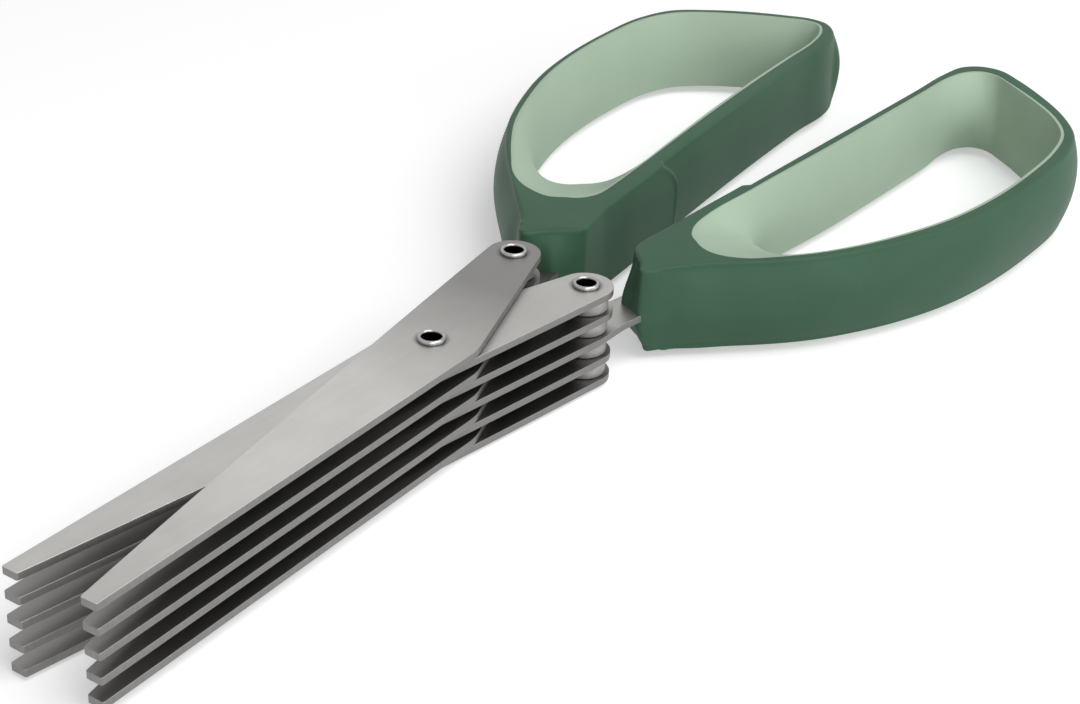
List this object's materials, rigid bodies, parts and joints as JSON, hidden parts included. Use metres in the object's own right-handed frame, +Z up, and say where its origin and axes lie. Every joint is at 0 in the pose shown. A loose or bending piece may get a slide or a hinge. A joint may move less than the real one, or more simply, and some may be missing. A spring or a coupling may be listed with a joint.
{
  "type": "herb scissors",
  "caption": "Herb scissors with stacked pairs of slim steel blades on one hollow pivot rivet and two moulded loop handles with soft liners.",
  "frame": {"origin": "centre of the part's box in plan, at the level of the lowest rivet rims", "axes": "+X from the blade tips to the handles, +Y towards the small loop, +Z up along the pivot"},
  "size_m": [0.1952, 0.0824, 0.0157],
  "materials": {
    "steel": "satin",
    "rivet": "bright",
    "spacer": "satin",
    "shell": "fine matt grain",
    "liner": "soft matt"
  },
  "bodies": {
    "lower_half": {"lower_rear_rivet": "rivet", "lower_blade_1": "steel", "lower_blade_2": "steel", "lower_blade_3": "steel", "lower_blade_4": "steel", "lower_blade_5": "steel", "lower_spacer_1": "spacer", "lower_spacer_2": "spacer", "lower_spacer_3": "spacer", "lower_spacer_4": "spacer", "large_handle_shell": "shell", "large_handle_liner": "liner", "pivot_rivet": "rivet", "pivot_washer_1": "spacer", "pivot_washer_2": "spacer", "pivot_washer_3": "spacer", "pivot_washer_4": "spacer"},
    "upper_half": {"upper_rear_rivet": "rivet", "upper_blade_1": "steel", "upper_blade_2": "steel", "upper_blade_3": "steel", "upper_blade_4": "steel", "upper_blade_5": "steel", "upper_spacer_1": "spacer", "upper_spacer_2": "spacer", "upper_spacer_3": "spacer", "upper_spacer_4": "spacer", "small_handle_shell": "shell", "small_handle_liner": "liner"}
  },
  "joints": [
    {"name": "pivot", "type": "hinge", "parent": "lower_half", "child": "upper_half", "pos_m": [-0.03278, -0.00117, 0.00784], "axis": [0, 0, 1], "range_deg": [-8.6, 45]}
  ]
}
